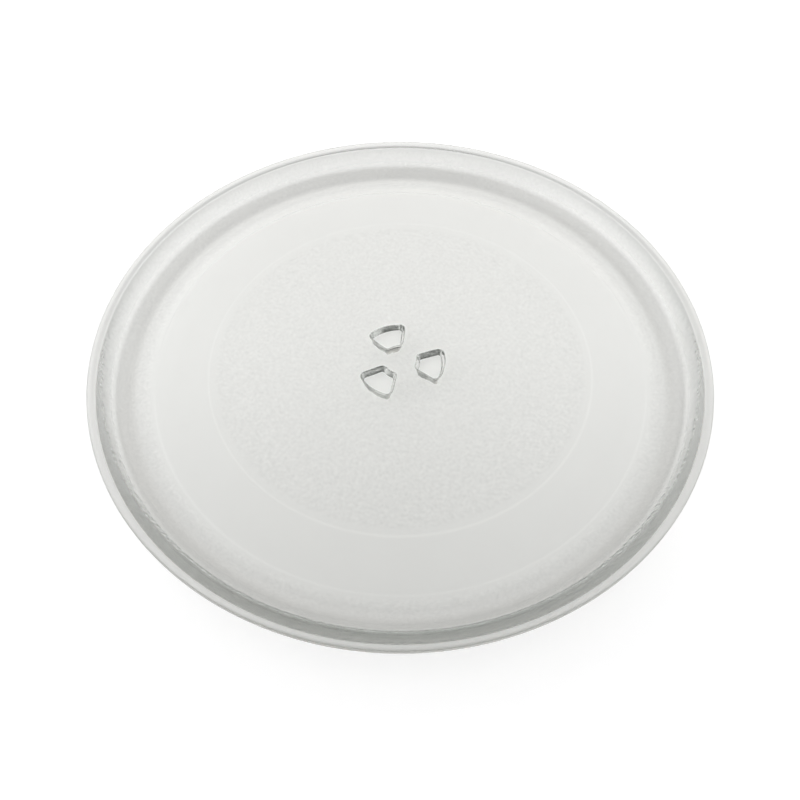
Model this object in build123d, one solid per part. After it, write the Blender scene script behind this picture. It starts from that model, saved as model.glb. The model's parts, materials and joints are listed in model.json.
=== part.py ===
"""Glass turntable plate of a microwave oven: one pressed piece with a flared lip and three drive lugs.

The frame has its origin on the plate's axis in the plane of the lug tips, with Z up. The first lug lies on X.
All lengths are millimetres and all angles degrees.
"""
import math
import os

from build123d import *

# The plate's overall sizes
PLATE_DIAMETER = 245.0
GLASS_THICKNESS = 4.5
DISH_DEPTH = 11.0

# The wall, whose outside is steeper than its inside
WALL_SLOPE = 58.0
OUTSIDE_SLOPE = 62.0
FLOOR_FILLET = 9.0
UNDERSIDE_FILLET = 12.0

# The rim, a lip that flares outward over the wall and ends in a round nose
LIP_THICKNESS = 3.2
LIP_NOSE = 1.5
LIP_CROWN = 6.5
LIP_FLAT = 1.3

# The smooth track under the floor that the roller ring runs on
TRACK_WIDTH = 23.0
TRACK_MARGIN = 5.4
TRACK_RELIEF = 0.2
TRACK_EDGE_RUN = 1.5

# The three lugs that the drive coupler turns
LUG_COUNT = 3
LUG_HEIGHT = 6.0
LUG_INNER_RADIUS = 7.0
LUG_OUTER_RADIUS = 18.4
LUG_INNER_WIDTH = 6.6
LUG_OUTER_WIDTH = 17.0
LUG_INNER_CORNER = 2.2
LUG_OUTER_CORNER = 2.4
LUG_DRAFT = 10.0
LUG_TIP_BEVEL = 0.4

# How far a lug's solid reaches up into the floor, so that the two join
LUG_BURY = 1.0

# Shares of a turn, in degrees
FULL_TURN = 360.0
HALF_TURN = FULL_TURN / 2
QUARTER_TURN = FULL_TURN / 4

NODE = "turntable_plate"

# Heights that follow from the sizes above
UNDERSIDE_Z = LUG_HEIGHT
FLOOR_Z = UNDERSIDE_Z + GLASS_THICKNESS
RIM_Z = FLOOR_Z + DISH_DEPTH
LIP_Z = RIM_Z - LIP_THICKNESS


def section_points():
    """Work out the named points of the plate's half section, as radius and height.

    A corner is where two straight runs would meet. The arc that rounds it starts and ends one reach away.
    """
    slope = math.radians(WALL_SLOPE)
    outside = math.radians(OUTSIDE_SLOPE)
    points = {}

    # The lip's nose, and the crown that turns the lip's top down into the wall
    nose_radius = PLATE_DIAMETER / 2 - LIP_NOSE
    points["nose_centre"] = (nose_radius, RIM_Z - LIP_THICKNESS / 2)
    points["nose_top"] = (nose_radius, RIM_Z)
    points["nose_bottom"] = (nose_radius, LIP_Z)
    crown_reach = LIP_CROWN * math.tan(slope / 2)
    crown_corner = nose_radius - crown_reach
    points["wall_top"] = (crown_corner - crown_reach * math.cos(slope), RIM_Z - crown_reach * math.sin(slope))

    # The fillet between the floor and the inner wall
    fillet_reach = FLOOR_FILLET * math.tan(slope / 2)
    floor_corner = crown_corner - DISH_DEPTH / math.tan(slope)
    points["floor_edge"] = (floor_corner - fillet_reach, FLOOR_Z)
    points["wall_foot"] = (
        floor_corner + fillet_reach * math.cos(slope),
        FLOOR_Z + fillet_reach * math.sin(slope),
    )

    # The outside of the wall, from the neck under the lip down to the large fillet of the underside
    neck_radius = nose_radius - LIP_FLAT
    points["neck"] = (neck_radius, LIP_Z)
    under_reach = UNDERSIDE_FILLET * math.tan(outside / 2)
    under_corner = neck_radius - (LIP_Z - UNDERSIDE_Z) / math.tan(outside)
    points["under_top"] = (
        under_corner + under_reach * math.cos(outside),
        UNDERSIDE_Z + under_reach * math.sin(outside),
    )
    under_edge = under_corner - under_reach
    points["under_edge"] = (under_edge, UNDERSIDE_Z)

    # The smooth track, a shallow step between two sloping edges
    track_outer = under_edge - TRACK_MARGIN
    track_inner = track_outer - TRACK_WIDTH
    track_z = UNDERSIDE_Z + TRACK_RELIEF
    points["track_outer"] = (track_outer, UNDERSIDE_Z)
    points["track_outer_top"] = (track_outer - TRACK_EDGE_RUN, track_z)
    points["track_inner_top"] = (track_inner + TRACK_EDGE_RUN, track_z)
    points["track_inner"] = (track_inner, UNDERSIDE_Z)
    return points


def plate_section():
    """Draw the closed half section of the plate, from the axis out to the lip and back."""
    p = section_points()
    edges = [
        # The dish: floor, fillet, wall and the crown of the lip
        Line((0, FLOOR_Z), p["floor_edge"]),
        TangentArc(p["floor_edge"], p["wall_foot"], tangent=(1, 0)),
        Line(p["wall_foot"], p["wall_top"]),
        TangentArc(p["nose_top"], p["wall_top"], tangent=(-1, 0)),
        # The nose of the lip, half an ellipse
        EllipticalCenterArc(
            p["nose_centre"],
            LIP_NOSE,
            LIP_THICKNESS / 2,
            start_angle=-QUARTER_TURN,
            arc_size=HALF_TURN,
        ),
        # The outside: the flat under the lip, the wall and the large fillet
        Line(p["nose_bottom"], p["neck"]),
        Line(p["neck"], p["under_top"]),
        TangentArc(p["under_edge"], p["under_top"], tangent=(1, 0)),
        # The underside with its track, and back up the axis
        Polyline(
            p["under_edge"],
            p["track_outer"],
            p["track_outer_top"],
            p["track_inner_top"],
            p["track_inner"],
            (0, UNDERSIDE_Z),
            (0, FLOOR_Z),
        ),
    ]
    return Plane.XZ * make_face(edges)


def flank_point(radius, inset):
    """Return the point where a lug's flank, moved in by an inset, meets a circle about the axis."""
    inner_half = LUG_INNER_WIDTH / 2
    outer_half = LUG_OUTER_WIDTH / 2
    inner = Vector(math.sqrt(LUG_INNER_RADIUS**2 - inner_half**2), inner_half)
    outer = Vector(math.sqrt(LUG_OUTER_RADIUS**2 - outer_half**2), outer_half)
    along = (outer - inner).normalized()
    start = inner + Vector(along.Y, -along.X) * inset
    lead = start.dot(along)
    reach = math.sqrt(radius**2 - start.dot(start) + lead**2) - lead
    return start + along * reach


def lug_outline(inset):
    """Draw one lug's outline, hollow toward the axis and broad outward, moved in by an inset."""
    inner_radius = LUG_INNER_RADIUS + inset
    outer_radius = LUG_OUTER_RADIUS - inset
    inner = flank_point(inner_radius, inset)
    outer = flank_point(outer_radius, inset)
    with BuildSketch() as outline:
        with BuildLine():
            ThreePointArc((inner.X, -inner.Y), (inner_radius, 0), (inner.X, inner.Y))
            Line((inner.X, inner.Y), (outer.X, outer.Y))
            ThreePointArc((outer.X, outer.Y), (outer_radius, 0), (outer.X, -outer.Y))
            Line((outer.X, -outer.Y), (inner.X, -inner.Y))
        make_face()
        corners = outline.vertices().sort_by(Axis.X)
        fillet(corners[:2], radius=LUG_INNER_CORNER - inset)
        corners = outline.vertices().sort_by(Axis.X)
        fillet(corners[-2:], radius=LUG_OUTER_CORNER - inset)
    return outline.sketch


def drive_lug():
    """Make one lug on X, drafted toward a tip with a bevelled edge."""
    draft_inset = (LUG_HEIGHT - LUG_TIP_BEVEL) * math.tan(math.radians(LUG_DRAFT))
    root = Pos(0, 0, UNDERSIDE_Z) * lug_outline(0)
    shoulder = Pos(0, 0, LUG_TIP_BEVEL) * lug_outline(draft_inset)
    tip = lug_outline(draft_inset + LUG_TIP_BEVEL)
    body = loft([root, shoulder, tip], ruled=True)
    return body + extrude(root, amount=LUG_BURY, dir=(0, 0, 1))


def turntable_plate():
    """Join the revolved plate and its lugs into the one glass piece."""
    plate = revolve(plate_section(), axis=Axis.Z)
    lug = drive_lug()
    for turn in range(LUG_COUNT):
        plate += Rot(0, 0, turn * FULL_TURN / LUG_COUNT) * lug
    return plate


os.makedirs("parts", exist_ok=True)
plate = turntable_plate()
plate.label = NODE
export_step(plate, f"parts/{NODE}.step")
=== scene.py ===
"""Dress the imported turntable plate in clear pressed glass, with its stipple, on a pale floor in soft light.

The scene keeps the part's own frame: metres, the origin on the plate's axis in the plane of the lug tips,
Z up and the first drive lug on X.
"""
import json
import math
import random

import bpy
from bpy.props import FloatProperty, FloatVectorProperty, IntProperty, PointerProperty
from mathutils import Matrix, Vector, noise
from mathutils.geometry import delaunay_2d_cdt


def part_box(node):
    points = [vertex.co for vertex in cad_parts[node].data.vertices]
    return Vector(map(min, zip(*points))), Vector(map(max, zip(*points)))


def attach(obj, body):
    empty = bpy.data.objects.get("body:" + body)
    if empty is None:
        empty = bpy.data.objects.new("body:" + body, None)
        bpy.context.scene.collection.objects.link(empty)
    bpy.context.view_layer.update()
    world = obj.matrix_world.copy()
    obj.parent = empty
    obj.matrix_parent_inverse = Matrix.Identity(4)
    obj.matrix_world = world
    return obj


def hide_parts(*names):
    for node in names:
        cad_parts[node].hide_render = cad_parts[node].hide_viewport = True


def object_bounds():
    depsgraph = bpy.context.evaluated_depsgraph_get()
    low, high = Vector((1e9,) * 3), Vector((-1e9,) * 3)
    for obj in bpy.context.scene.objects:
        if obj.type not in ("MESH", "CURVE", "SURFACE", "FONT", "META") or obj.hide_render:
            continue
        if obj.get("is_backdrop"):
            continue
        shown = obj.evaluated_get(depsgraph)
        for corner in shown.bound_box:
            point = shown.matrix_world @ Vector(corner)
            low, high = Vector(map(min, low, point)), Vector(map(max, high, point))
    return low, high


bl_info = {
    "name": "Glass turntable plate",
    "version": (1, 0, 0),
    "blender": (4, 5, 0),
    "location": "View3D > Sidebar > Turntable",
    "description": "Builds the stippled glass turntable plate of a microwave oven over its packed solid",
    "category": "Object",
}

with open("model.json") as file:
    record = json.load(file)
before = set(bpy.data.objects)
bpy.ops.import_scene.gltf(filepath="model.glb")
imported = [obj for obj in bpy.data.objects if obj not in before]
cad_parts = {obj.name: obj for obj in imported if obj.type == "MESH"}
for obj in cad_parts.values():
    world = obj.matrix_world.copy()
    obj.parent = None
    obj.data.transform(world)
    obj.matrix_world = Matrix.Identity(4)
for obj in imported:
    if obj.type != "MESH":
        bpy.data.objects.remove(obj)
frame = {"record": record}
CAD_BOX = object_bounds()

NODE = "turntable_plate"
SLOT = "pressed_glass"
MOUNTS = {mount["name"]: mount["pos_m"] for mount in frame["record"]["mounts"]}
MM = 0.001
UP = math.pi / 2
DOWN = -math.pi / 2
FULL_TURN = 2 * math.pi

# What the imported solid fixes: the outer radius and the heights of the rim, the floor and the roller track
OUTER_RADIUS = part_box(NODE)[1].x
RIM_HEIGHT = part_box(NODE)[1].z
FLOOR_HEIGHT = MOUNTS["dish_floor"][2]
TRACK_HEIGHT = MOUNTS["roller_track"][2]

# How many points stand round the polished and the stippled zones
POLISHED_COUNT = 360
WALL_COUNT = 4 * POLISHED_COUNT
UNDER_COUNT = 2 * POLISHED_COUNT

# The rings inside the floor: what its radius and its count of points are divided by
FLOOR_STEPS = (8, 4, 2)

# Rows along the section, from the floor round the lip to the track
FILLET_ROWS = 12
WALL_ROWS = 2
CROWN_ROWS = 16
NOSE_ROWS = 20
NECK_ROWS = 6
OUTSIDE_ROWS = 14
UNDER_ROWS = 16
MARGIN_ROWS = 7
STEP_ROWS = 10

# Rows and steps of a lug's outline and of its height
CORNER_STEPS = 7
FLANK_STEPS = 9
INNER_STEPS = 4
OUTER_STEPS = 7
ROOT_ROWS = 6
FLANK_ROWS = 4
TIP_ROWS = 6

# How much weaker the painted highlight is on a lug's tip than on its sides
TIP_DIM = 0.6

# The finer bumps on top of the stipple: their height, scale and place beside the main ones
FINE_HEIGHT = 0.6
FINE_SCALE = 2.3
FINE_SHIFT = Vector((9.1, 4.7, 2.3))

# How uneven the points under the centre lie and how far they keep from an edge, in shares of their pitch
SCATTER = 0.15
EDGE_CLEARANCE = 0.6
SCATTER_SEED = 11

# How close two points under the centre have to be to count as one
WELD = 1e-9

# Detail of the fine grain, and the middle of its values
GRAIN_DETAIL = 1.5
GRAIN_MIDDLE = 0.5

# The floor: its reach from the axis and its gap under the lug tips
FLOOR_REACH = 3.0
FLOOR_GAP = 0.1 * MM

# Where the floor's fill stops rising, behind the axis, as a share of the plate's radius; the fill is weaker
# in front, which paints shade on the floor there
FILL_END = 0.2

# The soft areas of the sky: the way to each, and the cosines at its edge and at its core
FAR_AREA = ((0, 1, 0.25), 0.6, 0.97)
LEFT_AREA = ((-1, 0.15, 0.6), 0.5, 0.95)
RIGHT_AREA = ((1, 0.15, 0.6), 0.5, 0.95)
NEAR_AREA = ((0, -0.6, 1), 0.2, 0.75)
WHITE = (1, 1, 1)

# How often light may be bent or thrown back on its way
LIGHT_BOUNCES = 48

# The picture's width in points, the sensor's in millimetres, and the nearest that the camera sees in metres
PHOTO_WIDTH = 800
SENSOR_WIDTH = 36.0
NEAR_CLIP = 0.01


def length(name, description, default):
    """Declare a length of the plate, given in millimetres."""
    return FloatProperty(
        name=name,
        description=description,
        default=default * MM,
        min=0.0,
        subtype="DISTANCE",
        unit="LENGTH",
        precision=5,
    )


def angle(name, description, default):
    """Declare an angle, given in degrees."""
    return FloatProperty(
        name=name, description=description, default=math.radians(default), subtype="ANGLE", unit="ROTATION"
    )


def portion(name, description, default):
    """Declare a share or a weight. A painted shade below zero makes the glass paler, as a painted highlight.
    """
    return FloatProperty(name=name, description=description, default=default, subtype="FACTOR")


def amount(name, description, default):
    """Declare an amount of zero or more."""
    return FloatProperty(name=name, description=description, default=default, min=0.0)


def level(name, description, default):
    """Declare a number without limits."""
    return FloatProperty(name=name, description=description, default=default)


def light_tint(name, description, default):
    return FloatVectorProperty(name=name, description=description, default=default, size=3, subtype="COLOR")


def colour(name, description, default):
    """Declare a colour of the glass, of which no channel lets through more than all."""
    return FloatVectorProperty(
        name=name, description=description, default=default, size=3, min=0.0, max=1.0, subtype="COLOR"
    )


class PlateSizes(bpy.types.PropertyGroup):
    """Sizes of the plate's section, as in the part's source."""

    wall_slope: angle("Wall slope", "Slope of the wall inside the dish", 58.0)
    outside_slope: angle("Outside slope", "Slope of the wall's outside", 62.0)
    floor_fillet: length("Floor fillet", "Radius between the floor and the wall", 9.0)
    underside_fillet: length("Underside fillet", "Radius between the wall's outside and the underside", 12.0)
    lip_thickness: length("Lip thickness", "Height of the lip at its nose", 3.2)
    lip_nose: length("Lip nose", "How far the round nose stands out", 1.5)
    lip_crown: length("Lip crown", "Radius that turns the lip's top down into the wall", 6.5)
    lip_flat: length("Lip flat", "Width of the flat under the lip, to the corner of the neck", 1.3)
    lip_neck: length("Lip neck", "Radius of the hollow between the lip and the wall's outside", 0.6)
    track_width: length("Track width", "Width of the smooth roller track", 23.0)
    track_margin: length("Track margin", "Stippled flat between the track and the underside fillet", 5.4)
    track_relief: length("Track relief", "Depth of the track in the underside", 0.2)
    track_edge_run: length("Track edge", "Width of the slope at each edge of the track", 1.5)


class LugSizes(bpy.types.PropertyGroup):
    """Sizes of the drive lugs under the middle of the plate."""

    count: IntProperty(name="Lugs", description="How many lugs stand round the axis", default=3, min=1)
    inner_radius: length("Inner radius", "Radius of the hollow side toward the axis", 7.0)
    outer_radius: length("Outer radius", "Radius of the round side away from the axis", 18.4)
    inner_width: length("Inner width", "Width of the root toward the axis", 6.6)
    outer_width: length("Outer width", "Width of the root away from the axis", 17.0)
    inner_corner: length("Inner corners", "Radius of the corners toward the axis", 2.2)
    outer_corner: length("Outer corners", "Radius of the corners away from the axis", 2.4)
    draft: angle("Draft", "Lean of the lug's sides", 10.0)
    tip_round: length("Tip round", "Radius round the flat tip", 0.4)
    root_fillet: length("Root fillet", "Radius between the lug and the underside", 0.8)


class StippleLook(bpy.types.PropertyGroup):
    """The stipple, haze, painted shade and painted highlights of the pressed surfaces."""

    point_pitch: length("Point pitch", "Distance between the mesh points under the centre", 0.9)
    centre_pitch: length("Centre pitch", "Size of the bumps under the centre", 2.2)
    centre_height: length("Centre height", "Height of the bumps under the centre", 0.2)
    wall_pitch: length("Wall pitch", "Size of the bumps outside the wall", 1.5)
    wall_height: length("Wall height", "Height of the bumps outside the wall", 0.04)
    fade: length("Fade", "Width over which the bumps die out at a polished zone", 1.5)
    grain_scale: FloatProperty(
        name="Grain scale", description="Fine grains in a metre", default=800.0, min=1.0
    )
    grain_depth: length("Grain depth", "Depth of the fine grain on top of the bumps", 0.06)
    speckle: portion("Speckle", "How much the grain shades the glass", 0.16)
    roughness: FloatProperty(
        name="Roughness",
        description="Roughness of the glass at full haze",
        default=0.7,
        min=0.0,
        max=1.0,
        subtype="FACTOR",
    )
    centre_frost: portion("Centre frost", "Haze under the centre", 0.05)
    lip_frost: portion("Lip frost", "Haze under the lip", 0.8)
    wall_frost: portion("Wall frost", "Haze at the foot of the wall's outside", 0.3)
    margin_frost: portion("Margin frost", "Haze where the wall begins", 0.2)
    lug_frost: portion("Lug frost", "Haze on the lugs' sides", 0.25)
    lug_grain: portion("Lug grain", "Fine grain on the lugs' sides", 0.4)
    # The shades paint shade into the glass's colour, and below zero paint it paler; the gleams are painted
    # highlights on the track's edges and the lugs
    centre_shade: portion("Centre shade", "Shade under the centre", 0.06)
    lip_shade: portion("Lip shade", "Shade under the lip", -0.1)
    wall_shade: portion("Wall shade", "Shade of the wall's outside", 0.1)
    shade_peak: portion("Shade peak", "Where round the fillet the shade is deepest", 0.25)
    shade_hold: portion("Shade hold", "Where round the fillet the shade starts to thin", 0.55)
    margin_shade: portion("Margin shade", "Shade where the wall begins", 0.35)
    margin_reach: portion("Margin reach", "Share of the margin that the shade reaches over", 0.9)
    painted_edge_gleam: portion("Edge gleam", "How bright the track's edges are", 0.11)
    painted_lug_gleam: portion("Lug gleam", "How bright the lugs are", 0.7)


class GlassLook(bpy.types.PropertyGroup):
    """The clear glass."""

    refraction: FloatProperty(
        name="Refraction", description="Refractive index", default=1.52, min=1.0, max=2.0
    )
    tint: colour("Tint", "Colour that the glass lets through", (0.655, 0.68, 0.66))
    density: amount("Density", "Strength of the tint in a metre of glass", 20.0)
    surface: colour("Surface tint", "Light that a polished face lets through", (0.748, 0.75, 0.735))
    # The frost tint is painted shade: the darker colour that a glass face takes where its painted shade is
    # full, not a colour of frosted glass
    frost: colour("Frost tint", "Light that a fully shaded face lets through", (0.405, 0.405, 0.392))


class StageLook(bpy.types.PropertyGroup):
    """The floor, the light and the camera."""

    floor_shade: portion("Floor shade", "Grey of the floor", 0.9)
    floor_glow: level("Floor glow", "Light that fills the floor to white", 0.46)
    # The far glow paints shade on the floor: it fills the floor less in front of the axis than behind
    painted_far_glow: level("Far glow", "How much more the floor is filled behind the plate", 0.17)
    ambient: amount("Even light", "Light from all round", 0.4)
    far_light: amount("Far light", "Light from low behind the plate", 0.75)
    left_light: amount("Left light", "Light from the left", 1.2)
    right_light: amount("Right light", "Light from the right", 0.7)
    near_shade: amount("Near shade", "How dim it is on the camera's side", 0.38)
    far_tint: light_tint("Far tint", "Colour of the far light", (1.0, 0.955, 0.91))
    side_tint: light_tint("Side tint", "Colour of the side lights", (0.985, 0.985, 1.0))
    turn: angle("Turn", "Turn of the camera and the light about the plate's axis", 9.0)
    elevation: angle("Elevation", "Camera's height over the floor's plane", 53.37)
    distance: length("Distance", "From the camera to the middle of the dish", 330.75)
    focal_pixels: level("Focal length", "Focal length in picture points", 807.0)
    aim: FloatVectorProperty(
        name="Aim",
        description="Picture point where the middle of the dish stands",
        default=(400.2, 354.7),
        size=2,
    )


class PressedMesh:
    """Points, weights and faces of the plate while it is put together."""

    def __init__(self):
        self.points = []
        self.grain = []
        self.frost = []
        self.shade = []
        self.faces = []

    def point(self, place, grain=0.0, frost=0.0, shade=0.0):
        """Add one point and return its number."""
        self.points.append(Vector(place))
        self.grain.append(grain)
        self.frost.append(frost)
        self.shade.append(shade)
        return len(self.points) - 1

    def band(self, first, second):
        """Join two rings, one of which may have a whole multiple of the other's points."""
        few = min(len(first), len(second))
        first_step = len(first) // few
        second_step = len(second) // few
        for i in range(few):
            a = [first[(i * first_step + k) % len(first)] for k in range(first_step + 1)]
            b = [second[(i * second_step + k) % len(second)] for k in range(second_step + 1)]
            self.strip(a, b)

    def strip(self, a, b):
        """Join two runs of points, by four-sided faces or by fans about a single step's two ends."""
        if len(a) == len(b):
            for k in range(len(a) - 1):
                self.faces.append((a[k], b[k], b[k + 1], a[k + 1]))
            return
        single, many = (a, b) if len(a) < len(b) else (b, a)
        half = (len(many) - 1) // 2
        fans = [(single[0], many[k], many[k + 1]) for k in range(half)]
        fans.append((single[0], many[half], single[1]))
        fans += [(single[1], many[k], many[k + 1]) for k in range(half, len(many) - 1)]
        for fan in fans:
            self.faces.append(fan if single is a else tuple(reversed(fan)))

    def volume(self):
        """Return the volume inside the faces, positive when they face outward."""
        total = 0.0
        for face in self.faces:
            first = self.points[face[0]]
            for k in range(1, len(face) - 1):
                total += first.dot(self.points[face[k]].cross(self.points[face[k + 1]])) / 6
        return total

    def open_edges(self):
        """Count the edges that don't lie between exactly two faces of matching direction."""
        seen = {}
        for face in self.faces:
            for k, start in enumerate(face):
                edge = (start, face[(k + 1) % len(face)])
                seen[edge] = seen.get(edge, 0) + 1
        return sum(1 for (start, end), count in seen.items() if count != 1 or (end, start) not in seen)


def smooth(share):
    """Ease a share from 0 to 1 so that it starts and ends level."""
    return share * share * (3 - 2 * share)


def fade(distance, run):
    """Return how much of something is there at a distance from its start, if it grows over a run."""
    return smooth(max(0.0, min(1.0, distance / run)))


def bumps(place, pitch):
    """Return the stipple's height at a place, about between -1 and 1."""
    spot = place / pitch
    return noise.noise(spot) + FINE_HEIGHT * noise.noise(spot * FINE_SCALE + FINE_SHIFT)


def shares(rows):
    """Return the shares of the way along a zone at which its rows lie, without its start."""
    return [(row + 1) / rows for row in range(rows)]


def between(start, end):
    """Make a weight that runs evenly from one value to another along a zone."""
    return lambda share: start + (end - start) * share


def rising(zone, run):
    """Make a weight that grows over a run at the start of a zone of some length."""
    return lambda share: fade(zone * share, run)


def falling(zone, run):
    """Make a weight that dies out over a run at the end of a zone of some length."""
    return lambda share: fade(zone * (1 - share), run)


# The weight of a polished zone, and of one that has all there is
polished = between(0.0, 0.0)
full = between(1.0, 1.0)


class Section:
    """The plate's half section as stations: radius, height, way it faces, count and three weights."""

    def __init__(self, sizes, stipple, underside):
        self.sizes = sizes
        self.stipple = stipple
        self.underside = underside
        self.nose_radius = OUTER_RADIUS - sizes.lip_nose
        self.stations = []
        self.count = POLISHED_COUNT

    def put(self, radius, height, facing, grain=0.0, frost=0.0, shade=0.0):
        """Add a station, whose stipple stands out along the way it faces."""
        self.stations.append((radius, height, facing, self.count, grain, frost, shade))

    def arc(
        self, centre, radius, start, end, rows, hollow=False, grain=polished, frost=polished, shade=polished
    ):
        """Add an arc's stations. A hollow one faces its own centre."""
        turned = math.pi if hollow else 0.0
        for share in shares(rows):
            at = start + (end - start) * share
            spot = (centre[0] + radius * math.cos(at), centre[1] + radius * math.sin(at))
            self.put(*spot, at + turned, grain(share), frost(share), shade(share))

    def line(self, start, end, facing, rows, grain=polished, frost=polished, shade=polished):
        """Add a straight zone's stations."""
        for share in shares(rows):
            spot = (start[0] + (end[0] - start[0]) * share, start[1] + (end[1] - start[1]) * share)
            self.put(*spot, facing, grain(share), frost(share), shade(share))

    def painted_bend_shade(self, share):
        """Return the painted shade round the large fillet, which grows from the wall and thins to the margin.
        """
        look = self.stipple
        if share < look.shade_peak:
            return look.wall_shade + (1.0 - look.wall_shade) * smooth(share / look.shade_peak)
        return 1.0 + (look.margin_shade - 1.0) * fade(share - look.shade_hold, 1.0 - look.shade_hold)

    def margin_shade(self, share):
        """Return the painted shade across the margin, which dies out toward the track."""
        look = self.stipple
        return look.margin_shade * (1 - fade(share, look.margin_reach))

    def painted_edge_highlight(self, share):
        """Return the painted highlight across an edge of the track, a shade below zero that is brightest in
        its middle.
        """
        return -self.stipple.painted_edge_gleam * math.sin(math.pi * share) ** 2

    def lay_out(self):
        """Lay the stations from the floor round the lip to the inner edge of the track."""
        self.lay_dish()
        self.lay_lip()
        self.lay_outside()
        self.lay_track()
        return self

    def lay_dish(self):
        """Lay the floor in rings that grow denser outward, its fillet, the wall and the crown of the lip."""
        sizes = self.sizes
        crown = (self.nose_radius, RIM_HEIGHT - sizes.lip_crown)
        wall_top = (
            crown[0] - sizes.lip_crown * math.sin(sizes.wall_slope),
            crown[1] + sizes.lip_crown * math.cos(sizes.wall_slope),
        )
        foot_height = FLOOR_HEIGHT + sizes.floor_fillet * (1 - math.cos(sizes.wall_slope))
        wall_foot = (wall_top[0] - (wall_top[1] - foot_height) / math.tan(sizes.wall_slope), foot_height)
        floor_radius = wall_foot[0] - sizes.floor_fillet * math.sin(sizes.wall_slope)
        for step in FLOOR_STEPS:
            self.count = POLISHED_COUNT // step
            self.put(floor_radius / step, FLOOR_HEIGHT, UP)
        self.count = POLISHED_COUNT
        self.put(floor_radius - sizes.track_edge_run, FLOOR_HEIGHT, UP)
        self.put(floor_radius, FLOOR_HEIGHT, UP)
        fillet = (floor_radius, FLOOR_HEIGHT + sizes.floor_fillet)
        self.arc(fillet, sizes.floor_fillet, DOWN, DOWN + sizes.wall_slope, FILLET_ROWS, hollow=True)
        self.line(wall_foot, wall_top, UP + sizes.wall_slope, WALL_ROWS)
        self.arc(crown, sizes.lip_crown, UP + sizes.wall_slope, UP, CROWN_ROWS)

    def lay_lip(self):
        """Lay the nose of the lip, half an ellipse, and the flat and the hollow neck under it."""
        sizes, look = self.sizes, self.stipple
        half = sizes.lip_thickness / 2
        # The nose's lower half, the flat and the neck carry haze and the lip's painted shade, which below
        # zero paints them paler
        for share in shares(NOSE_ROWS):
            at = UP - math.pi * share
            below = fade(share - 0.5, 0.5)
            self.put(
                self.nose_radius + sizes.lip_nose * math.cos(at),
                RIM_HEIGHT - half + half * math.sin(at),
                math.atan2(math.sin(at) / half, math.cos(at) / sizes.lip_nose),
                frost=look.lip_frost * below,
                shade=look.lip_shade * below,
            )
        lip_height = RIM_HEIGHT - sizes.lip_thickness
        neck_reach = sizes.lip_neck * math.tan(sizes.outside_slope / 2)
        neck = (self.nose_radius - sizes.lip_flat + neck_reach, lip_height - sizes.lip_neck)
        for radius in ((self.nose_radius + neck[0]) / 2, neck[0]):
            self.put(radius, lip_height, DOWN, frost=look.lip_frost, shade=look.lip_shade)
        haze = between(look.lip_frost, 1.0)
        shade = between(look.lip_shade, look.wall_shade)
        self.arc(neck, sizes.lip_neck, UP, UP + sizes.outside_slope, NECK_ROWS, True, polished, haze, shade)

    def lay_outside(self):
        """Lay the outside of the wall, the underside's large fillet and the margin, all stippled."""
        sizes, look = self.sizes, self.stipple
        outward = DOWN + sizes.outside_slope
        neck_end = self.stations[-1][:2]
        top_height = self.underside + sizes.underside_fillet * (1 - math.cos(sizes.outside_slope))
        under_top = (neck_end[0] - (neck_end[1] - top_height) / math.tan(sizes.outside_slope), top_height)
        wall_length = (neck_end[1] - top_height) / math.sin(sizes.outside_slope)
        grain = rising(wall_length, look.fade)
        haze = between(1.0, look.wall_frost)
        # Painted shade on the wall's outside
        shade = between(look.wall_shade, look.wall_shade)
        self.count = WALL_COUNT
        self.line(neck_end, under_top, outward, OUTSIDE_ROWS, grain, haze, shade)

        under_radius = under_top[0] - sizes.underside_fillet * math.sin(sizes.outside_slope)
        under = (under_radius, self.underside + sizes.underside_fillet)
        haze = between(look.wall_frost, look.margin_frost)
        # The large fillet carries the deepest painted shade, and the margin a painted shade that dies out
        # toward the track
        bend = self.painted_bend_shade
        self.count = UNDER_COUNT
        self.arc(under, sizes.underside_fillet, outward, DOWN, UNDER_ROWS, False, full, haze, bend)

        start = (under_radius, self.underside)
        end = (under_radius - sizes.track_margin, self.underside)
        grain = falling(sizes.track_margin, look.fade)
        haze = between(look.margin_frost, 0.0)
        self.line(start, end, DOWN, MARGIN_ROWS, grain, haze, self.margin_shade)

    def lay_track(self):
        """Lay the smooth track, a shallow step with eased edges."""
        sizes = self.sizes
        run = sizes.track_edge_run
        track_outer = self.stations[-1][0]
        track_inner = track_outer - sizes.track_width
        self.count = POLISHED_COUNT
        # Each eased edge of the track carries a painted highlight, a pale ring
        for share in shares(STEP_ROWS):
            height = self.underside + sizes.track_relief * smooth(share)
            self.put(track_outer - run * share, height, DOWN, shade=self.painted_edge_highlight(share))
        for radius in (track_outer - 2 * run, track_inner + 2 * run, track_inner + run):
            self.put(radius, TRACK_HEIGHT, DOWN)
        for share in shares(STEP_ROWS):
            height = TRACK_HEIGHT - sizes.track_relief * smooth(share)
            self.put(track_inner + run * (1 - share), height, DOWN, shade=self.painted_edge_highlight(share))
        self.put(track_inner - run, self.underside, DOWN)


def lay_ring(mesh, station, stipple):
    """Add one station's ring of points, raised by its stipple."""
    radius, height, facing, count, grain, frost, shade = station
    ring = []
    for i in range(count):
        turn = FULL_TURN * i / count
        round_way = Vector((math.cos(turn), math.sin(turn), 0))
        place = round_way * radius + Vector((0, 0, height))
        if grain > 0:
            lift = grain * stipple.wall_height * bumps(place, stipple.wall_pitch)
            place += (round_way * math.cos(facing) + Vector((0, 0, math.sin(facing)))) * lift
        ring.append(mesh.point(place, grain, frost, shade))
    return ring


def lay_plate(mesh, section, stipple):
    """Add the plate from the middle of its floor round the lip, and return the last ring of the track."""
    middle = mesh.point((0, 0, FLOOR_HEIGHT))
    last = None
    for station in section.stations:
        ring = lay_ring(mesh, station, stipple)
        if last is None:
            for i, start in enumerate(ring):
                mesh.faces.append((middle, start, ring[(i + 1) % len(ring)]))
        else:
            mesh.band(last, ring)
        last = ring
    return last


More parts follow.
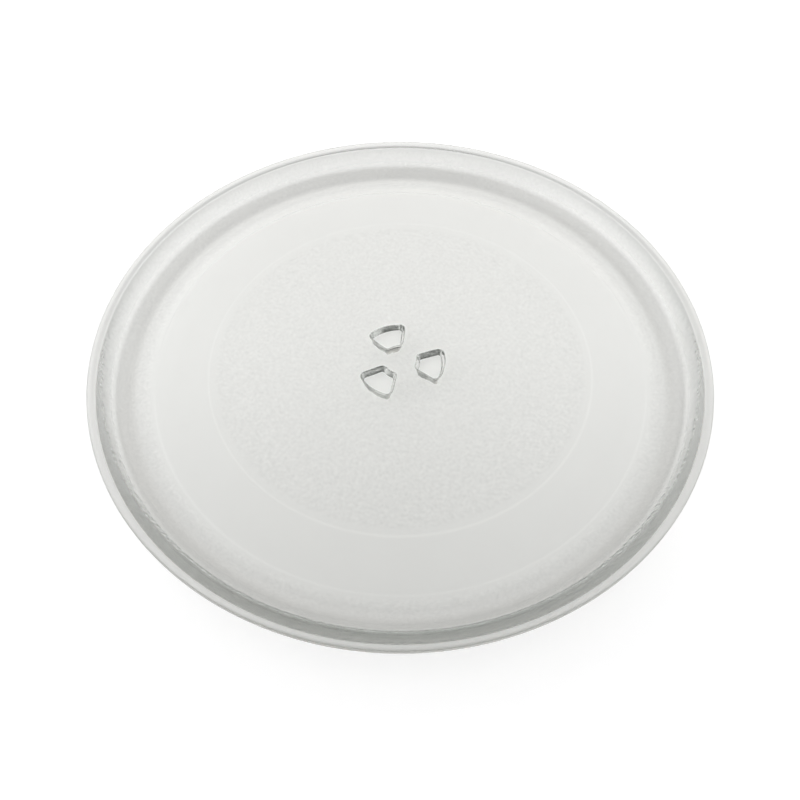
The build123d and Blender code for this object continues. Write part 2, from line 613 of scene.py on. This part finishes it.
class LugOutline:
    """Outline of one lug on X, which can be drawn in or out by any inset."""

    def __init__(self, sizes):
        self.sizes = sizes
        inner_half = sizes.inner_width / 2
        outer_half = sizes.outer_width / 2
        start = Vector((math.sqrt(sizes.inner_radius**2 - inner_half**2), inner_half))
        end = Vector((math.sqrt(sizes.outer_radius**2 - outer_half**2), outer_half))
        self.along = (end - start).normalized()
        self.side = Vector((-self.along.y, self.along.x))
        inner_reach = sizes.inner_radius + sizes.inner_corner
        outer_reach = sizes.outer_radius - sizes.outer_corner
        self.inner_centre = self.corner_centre(start, inner_reach, sizes.inner_corner)
        self.outer_centre = self.corner_centre(start, outer_reach, sizes.outer_corner)

    def corner_centre(self, start, reach, corner):
        """Find the centre of a corner's round, at a reach from the axis and its radius inside the flank."""
        base = start - self.side * corner
        lean = base.dot(self.along)
        return base + self.along * (math.sqrt(lean * lean - base.length_squared + reach * reach) - lean)

    def points(self, inset):
        """Return the outline's points in order, drawn in by an inset."""
        sizes = self.sizes
        axis = Vector((0, 0))
        side = math.atan2(self.side.y, self.side.x)
        outer_turn = math.atan2(self.outer_centre.y, self.outer_centre.x)
        inner_turn = math.atan2(self.inner_centre.y, self.inner_centre.x)
        outer = sizes.outer_radius - inset
        inner = sizes.inner_radius + inset
        half = [on_circle(axis, outer, outer_turn * k / OUTER_STEPS) for k in range(OUTER_STEPS)]
        half += corner_points(self.outer_centre, sizes.outer_corner - inset, outer_turn, side)
        flank_start = half[-1]
        inner_end = inner_turn + math.pi
        inner_corner = corner_points(self.inner_centre, sizes.inner_corner - inset, side, inner_end)
        for k in range(1, FLANK_STEPS):
            half.append(flank_start.lerp(inner_corner[0], k / FLANK_STEPS))
        half += inner_corner
        for share in shares(INNER_STEPS):
            half.append(on_circle(axis, inner, inner_turn * (1 - share)))
        mirrored = [Vector((spot.x, -spot.y)) for spot in reversed(half[1:-1])]
        return half + mirrored


def on_circle(centre, radius, turn):
    """Return the point at a turn on a circle."""
    return centre + Vector((math.cos(turn), math.sin(turn))) * radius


def corner_points(centre, radius, start, end):
    """Return the points of a corner's round, both ends among them."""
    turns = [start + (end - start) * k / CORNER_STEPS for k in range(CORNER_STEPS + 1)]
    return [on_circle(centre, radius, turn) for turn in turns]


def lug_levels(sizes, height):
    """Return a lug's levels from root to tip, each an inset of the outline and a depth below its root."""
    draft = sizes.draft
    fillet = sizes.root_fillet
    tip = sizes.tip_round
    levels = []
    reach = fillet * (1 - math.sin(draft)) / math.cos(draft)
    for row in range(ROOT_ROWS + 1):
        at = (math.pi / 2 - draft) * row / ROOT_ROWS
        levels.append((fillet * math.sin(at) - reach, fillet * (1 - math.cos(at))))
    inset = (tip + (height - tip) * math.sin(draft)) / math.cos(draft)
    rounds = []
    for row in range(TIP_ROWS + 1):
        at = draft + (math.pi / 2 - draft) * row / TIP_ROWS
        rounds.append((inset - tip * math.cos(at), height - tip + tip * math.sin(at)))
    root, top = levels[-1], rounds[0]
    for row in range(1, FLANK_ROWS):
        share = row / FLANK_ROWS
        levels.append((root[0] + (top[0] - root[0]) * share, root[1] + (top[1] - root[1]) * share))
    return levels + rounds


def lug_weights(sizes, stipple, depth, height):
    """Return a lug's grain, haze and painted shade at a depth. Its sides are grained, and its painted
    highlight, a shade below zero that paints the lug paler, grows over the root fillet and is weaker at its
    tip.
    """
    side = math.sin(math.pi * depth / height)
    tip = fade(depth - height + sizes.tip_round, sizes.tip_round)
    # Painted highlight: the lug's glass is painted paler than the plate's
    gleam = stipple.painted_lug_gleam * fade(depth, sizes.root_fillet) * (1 - TIP_DIM * tip)
    return stipple.lug_grain * side, stipple.lug_frost * side, -gleam


def lay_lugs(mesh, sizes, stipple, underside):
    """Add the lugs below the underside and return the ring of points round each root."""
    outline = LugOutline(sizes)
    levels = lug_levels(sizes, underside)
    roots = []
    for lug in range(sizes.count):
        turn = Matrix.Rotation(FULL_TURN * lug / sizes.count, 2)
        rings = []
        for inset, depth in levels:
            weights = lug_weights(sizes, stipple, depth, underside)
            spots = [turn @ spot for spot in outline.points(inset)]
            rings.append([mesh.point((spot.x, spot.y, underside - depth), *weights) for spot in spots])
        for upper, lower in zip(rings, rings[1:]):
            mesh.band(upper, lower)
        mesh.faces.append(tuple(reversed(rings[-1])))
        roots.append(rings[0])
    return roots


def inside(spot, outline):
    """Tell whether a spot lies inside a closed outline."""
    within = False
    for k, end in enumerate(outline):
        start = outline[k - 1]
        if (start.y > spot.y) != (end.y > spot.y):
            if spot.x < start.x + (end.x - start.x) * (spot.y - start.y) / (end.y - start.y):
                within = not within
    return within


def edge_distance(spot, outline):
    """Return a spot's distance from the nearest point of an outline."""
    return min((spot - corner).length for corner in outline)


def scattered_spots(radius, pitch):
    """Yield the spots of a slightly uneven triangle grid within a radius of the axis."""
    row_pitch = pitch * math.sqrt(3) / 2
    rows = int(radius / row_pitch) + 1
    draw = random.Random(SCATTER_SEED)
    for row in range(-rows, rows + 1):
        for column in range(-rows, rows + 1):
            shift = Vector((draw.uniform(-SCATTER, SCATTER), draw.uniform(-SCATTER, SCATTER)))
            spot = Vector(((column + 0.5 * (row % 2)) * pitch, row * row_pitch)) + shift * pitch
            if spot.length <= radius - EDGE_CLEARANCE * pitch:
                yield spot


def lay_centre(mesh, edge, roots, stipple, underside):
    """Fill the underside between the track and the lug roots with stippled glass."""
    flat = []
    owners = []
    edges = []
    outlines = []
    for ring in [edge] + roots:
        base = len(flat)
        outline = [mesh.points[k].to_2d() for k in ring]
        edges += [(base + k, base + (k + 1) % len(ring)) for k in range(len(ring))]
        outlines.append(outline)
        flat += outline
        owners += ring
    lugs = outlines[1:]
    radius = flat[0].length
    lug_reach = max(corner.length for outline in lugs for corner in outline)
    for spot in scattered_spots(radius, stipple.point_pitch):
        weight = fade(radius - spot.length, stipple.fade)
        if spot.length < lug_reach + stipple.fade:
            near = min(edge_distance(spot, outline) for outline in lugs)
            if near < EDGE_CLEARANCE * stipple.point_pitch or any(inside(spot, outline) for outline in lugs):
                continue
            weight *= fade(near, stipple.fade)
        place = Vector((spot.x, spot.y, underside))
        place.z -= weight * stipple.centre_height * bumps(place, stipple.centre_pitch)
        haze = weight * stipple.centre_frost
        # Painted shade darkens the stippled centre a little
        shade = weight * stipple.centre_shade
        flat.append(spot)
        owners.append(mesh.point(place, weight, haze, shade))
    spots, _, triangles, origins, _, _ = delaunay_2d_cdt(flat, edges, [], 0, WELD)
    for triangle in triangles:
        middle = sum((spots[k] for k in triangle), Vector((0, 0))) / len(triangle)
        if middle.length < lug_reach and any(inside(middle, outline) for outline in lugs):
            continue
        mesh.faces.append(tuple(owners[origins[k][0]] for k in reversed(triangle)))


def link(tree, start, end):
    """Join an output of a node to an input."""
    tree.links.new(start, end)


def math_node(tree, operation, first, second):
    """Add a sum on two values, each a socket or a number."""
    node = tree.nodes.new("ShaderNodeMath")
    node.operation = operation
    for socket, value in zip(node.inputs, (first, second)):
        if isinstance(value, bpy.types.NodeSocket):
            link(tree, value, socket)
        else:
            socket.default_value = value
    return node.outputs[0]


def ramp_node(tree, value, low, high, result):
    """Add an eased ramp that rises from nothing to a result between two values."""
    node = tree.nodes.new("ShaderNodeMapRange")
    node.interpolation_type = "SMOOTHSTEP"
    node.inputs["From Min"].default_value = low
    node.inputs["From Max"].default_value = high
    node.inputs["To Min"].default_value = 0.0
    node.inputs["To Max"].default_value = result
    link(tree, value, node.inputs["Value"])
    return node.outputs[0]


def toward_node(tree, place, direction):
    """Add a node that says how far a place lies along a direction."""
    node = tree.nodes.new("ShaderNodeVectorMath")
    node.operation = "DOT_PRODUCT"
    node.inputs[1].default_value = direction
    link(tree, place, node.inputs[0])
    return node.outputs["Value"]


def weight_node(tree, name):
    """Add a node that reads one of the mesh's weights."""
    node = tree.nodes.new("ShaderNodeAttribute")
    node.attribute_name = name
    return node.outputs["Fac"]


def fine_grain(tree, stipple):
    """Add the fine grain, a noise that stays with the object."""
    place = tree.nodes.new("ShaderNodeTexCoord")
    grain = tree.nodes.new("ShaderNodeTexNoise")
    grain.inputs["Scale"].default_value = stipple.grain_scale
    grain.inputs["Detail"].default_value = GRAIN_DETAIL
    link(tree, place.outputs["Object"], grain.inputs["Vector"])
    return grain.outputs["Fac"]


def painted_shade_tint(tree, look):
    """Add the tint of a glass face, which painted shade deepens and painted highlights thin."""
    tint = tree.nodes.new("ShaderNodeMix")
    tint.data_type = "RGBA"
    tint.clamp_factor = False
    tint.inputs["A"].default_value = (*look.surface, 1)
    tint.inputs["B"].default_value = (*look.frost, 1)
    # Painted shade: the mesh's shade weight darkens the glass's colour, and below zero paints it paler as a
    # painted highlight
    link(tree, weight_node(tree, "shade"), tint.inputs["Factor"])
    return tint.outputs["Result"]


def pressed_glass(look, stipple):
    """Make the glass: clear and polished, with grain, haze, painted shade and painted highlights by the
    weights on the mesh.
    """
    material = bpy.data.materials.new(SLOT)
    material.use_nodes = True
    tree = material.node_tree
    shader = tree.nodes["Principled BSDF"]
    shader.inputs["IOR"].default_value = look.refraction
    shader.inputs["Transmission Weight"].default_value = 1.0
    body = tree.nodes.new("ShaderNodeVolumeAbsorption")
    body.inputs["Color"].default_value = (*look.tint, 1)
    body.inputs["Density"].default_value = look.density
    link(tree, body.outputs[0], tree.nodes["Material Output"].inputs["Volume"])

    weight = weight_node(tree, "grain")
    grain = fine_grain(tree, stipple)
    bump = tree.nodes.new("ShaderNodeBump")
    bump.inputs["Distance"].default_value = stipple.grain_depth
    link(tree, weight, bump.inputs["Strength"])
    link(tree, grain, bump.inputs["Height"])
    link(tree, bump.outputs[0], shader.inputs["Normal"])
    haze = math_node(tree, "MULTIPLY", weight_node(tree, "frost"), stipple.roughness)
    link(tree, haze, shader.inputs["Roughness"])

    swing = math_node(tree, "SUBTRACT", grain, GRAIN_MIDDLE)
    speckle = math_node(tree, "MULTIPLY", swing, 2 * stipple.speckle)
    speckle = math_node(tree, "ADD", math_node(tree, "MULTIPLY", speckle, weight), 1.0)
    tint = tree.nodes.new("ShaderNodeVectorMath")
    tint.operation = "SCALE"
    link(tree, painted_shade_tint(tree, look), tint.inputs["Vector"])
    link(tree, speckle, tint.inputs["Scale"])
    link(tree, tint.outputs[0], shader.inputs["Base Color"])
    return material


class TURNTABLE_OT_build_plate(bpy.types.Operator):
    """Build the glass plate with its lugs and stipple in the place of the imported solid"""

    bl_idname = "turntable.build_plate"
    bl_label = "Build glass plate"

    def execute(self, context):
        scene = context.scene
        sizes, lugs = scene.turntable_plate, scene.turntable_lugs
        stipple = scene.turntable_stipple
        underside = TRACK_HEIGHT - sizes.track_relief
        mesh = PressedMesh()
        section = Section(sizes, stipple, underside).lay_out()
        edge = lay_plate(mesh, section, stipple)
        roots = lay_lugs(mesh, lugs, stipple, underside)
        lay_centre(mesh, edge, roots, stipple, underside)
        if mesh.open_edges() or mesh.volume() <= 0:
            raise RuntimeError("the plate's surface isn't closed and facing outward")
        data = bpy.data.meshes.new("glass_plate")
        data.from_pydata(mesh.points, [], mesh.faces)
        for name, weights in (("grain", mesh.grain), ("frost", mesh.frost), ("shade", mesh.shade)):
            data.attributes.new(name, "FLOAT", "POINT").data.foreach_set("value", weights)
        data.polygons.foreach_set("use_smooth", [True] * len(data.polygons))
        data.materials.append(pressed_glass(scene.turntable_glass, stipple))
        plate = bpy.data.objects.new("glass_plate", data)
        scene.collection.objects.link(plate)
        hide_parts(NODE)
        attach(plate, "root")
        return {"FINISHED"}


def pale_floor(look):
    """Make the floor's material: pale, matt and filled to white where it is seen, less so in front, a painted
    shade.
    """
    material = bpy.data.materials.new("pale_floor")
    material.use_nodes = True
    tree = material.node_tree
    shader = tree.nodes["Principled BSDF"]
    shader.inputs["Base Color"].default_value = (look.floor_shade, look.floor_shade, look.floor_shade, 1)
    shader.inputs["Roughness"].default_value = 1.0
    shader.inputs["Specular IOR Level"].default_value = 0.0
    shader.inputs["Emission Color"].default_value = (*WHITE, 1)
    ray = tree.nodes.new("ShaderNodeLightPath")
    seen = math_node(tree, "MAXIMUM", ray.outputs["Is Camera Ray"], ray.outputs["Is Glossy Ray"])
    seen = math_node(tree, "MAXIMUM", seen, ray.outputs["Is Transmission Ray"])
    # Painted shade: the fill falls off toward the front of the floor
    place = tree.nodes.new("ShaderNodeNewGeometry").outputs["Position"]
    behind = toward_node(tree, place, Matrix.Rotation(look.turn, 3, "Z") @ Vector((0, 1, 0)))
    rise = ramp_node(tree, behind, -OUTER_RADIUS, FILL_END * OUTER_RADIUS, look.painted_far_glow)
    glow = math_node(tree, "ADD", rise, look.floor_glow)
    link(tree, math_node(tree, "MULTIPLY", seen, glow), shader.inputs["Emission Strength"])
    return material


def soft_sky(look):
    """Make the world: even light, three broad soft areas and a dim one overhead on the camera's side."""
    world = bpy.data.worlds.new("soft_sky")
    world.use_nodes = True
    tree = world.node_tree
    turn = Matrix.Rotation(look.turn, 3, "Z")
    place = tree.nodes.new("ShaderNodeTexCoord").outputs["Generated"]
    areas = (
        (*FAR_AREA, look.far_light, look.far_tint),
        (*LEFT_AREA, look.left_light, look.side_tint),
        (*RIGHT_AREA, look.right_light, look.side_tint),
        (*NEAR_AREA, -look.near_shade, WHITE),
    )
    total = None
    for direction, edge, core, power, tint in areas:
        toward = toward_node(tree, place, turn @ Vector(direction).normalized())
        area = tree.nodes.new("ShaderNodeVectorMath")
        area.operation = "MULTIPLY_ADD"
        link(tree, ramp_node(tree, toward, edge, core, power), area.inputs[0])
        area.inputs[1].default_value = tint
        area.inputs[2].default_value = (look.ambient, look.ambient, look.ambient)
        if total:
            link(tree, total, area.inputs[2])
        total = area.outputs[0]
    link(tree, total, tree.nodes["Background"].inputs["Color"])
    return world


def lay_floor(scene, look):
    """Lay the floor, one broad face just under the lug tips."""
    signs = ((-1, -1), (1, -1), (1, 1), (-1, 1))
    corners = [(x * FLOOR_REACH, y * FLOOR_REACH, -FLOOR_GAP) for x, y in signs]
    data = bpy.data.meshes.new("pale_floor")
    data.from_pydata(corners, [], [(0, 1, 2, 3)])
    data.materials.append(pale_floor(look))
    floor = bpy.data.objects.new("pale_floor", data)
    scene.collection.objects.link(floor)
    floor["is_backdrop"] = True


def set_camera(scene, look):
    """Set the camera where the middle of the dish comes to its place in the picture."""
    lens = bpy.data.cameras.new("camera")
    camera = bpy.data.objects.new("camera", lens)
    scene.collection.objects.link(camera)
    scene.camera = camera
    back = Vector((0, -math.cos(look.elevation), math.sin(look.elevation)))
    back.rotate(Matrix.Rotation(look.turn, 3, "Z"))
    camera.location = Vector((0, 0, FLOOR_HEIGHT)) + back * look.distance
    camera.rotation_mode = "QUATERNION"
    camera.rotation_quaternion = back.to_track_quat("Z", "Y")
    lens.sensor_width = SENSOR_WIDTH
    lens.lens = look.focal_pixels * SENSOR_WIDTH / PHOTO_WIDTH
    lens.shift_x = (PHOTO_WIDTH / 2 - look.aim[0]) / PHOTO_WIDTH
    lens.shift_y = (look.aim[1] - PHOTO_WIDTH / 2) / PHOTO_WIDTH
    lens.clip_start = NEAR_CLIP


class TURNTABLE_OT_set_stage(bpy.types.Operator):
    """Set the pale floor, the soft light and the camera"""

    bl_idname = "turntable.set_stage"
    bl_label = "Set stage"

    def execute(self, context):
        scene = context.scene
        look = scene.turntable_stage
        lay_floor(scene, look)
        scene.world = soft_sky(look)
        set_camera(scene, look)

        # Light crosses several glass faces on its way, and none of them is blurred
        scene.view_settings.view_transform = "Standard"
        scene.cycles.blur_glossy = 0.0
        scene.cycles.max_bounces = LIGHT_BOUNCES
        scene.cycles.transmission_bounces = LIGHT_BOUNCES
        scene.cycles.glossy_bounces = LIGHT_BOUNCES
        return {"FINISHED"}


GROUPS = {
    "turntable_plate": PlateSizes,
    "turntable_lugs": LugSizes,
    "turntable_stipple": StippleLook,
    "turntable_glass": GlassLook,
    "turntable_stage": StageLook,
}
OPERATORS = (TURNTABLE_OT_build_plate, TURNTABLE_OT_set_stage)


class TURNTABLE_PT_panel(bpy.types.Panel):
    """Panel with the plate's sizes, finishes and the two builders"""

    bl_idname = "TURNTABLE_PT_panel"
    bl_label = "Turntable plate"
    bl_space_type = "VIEW_3D"
    bl_region_type = "UI"
    bl_category = "Turntable"

    def draw(self, context):
        for name, group in GROUPS.items():
            box = self.layout.box()
            box.label(text=name.replace("_", " ").capitalize())
            for entry in group.__annotations__:
                box.prop(getattr(context.scene, name), entry)
        for operator in OPERATORS:
            self.layout.operator(operator.bl_idname)


CLASSES = (*GROUPS.values(), *OPERATORS, TURNTABLE_PT_panel)


def register():
    """Register the classes and hang the settings on the scene."""
    for item in CLASSES:
        bpy.utils.register_class(item)
    for name, group in GROUPS.items():
        setattr(bpy.types.Scene, name, PointerProperty(type=group))


def unregister():
    """Take the settings and the classes away again."""
    for name in GROUPS:
        delattr(bpy.types.Scene, name)
    for item in reversed(CLASSES):
        bpy.utils.unregister_class(item)


def main():
    """Build the plate and its stage."""
    register()
    bpy.ops.turntable.build_plate()
    bpy.ops.turntable.set_stage()
    boxes = {"cad": CAD_BOX, "visual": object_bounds()}
    plain = {name: [[float(value) for value in corner] for corner in box] for name, box in boxes.items()}


if __name__ == "__main__":
    main()
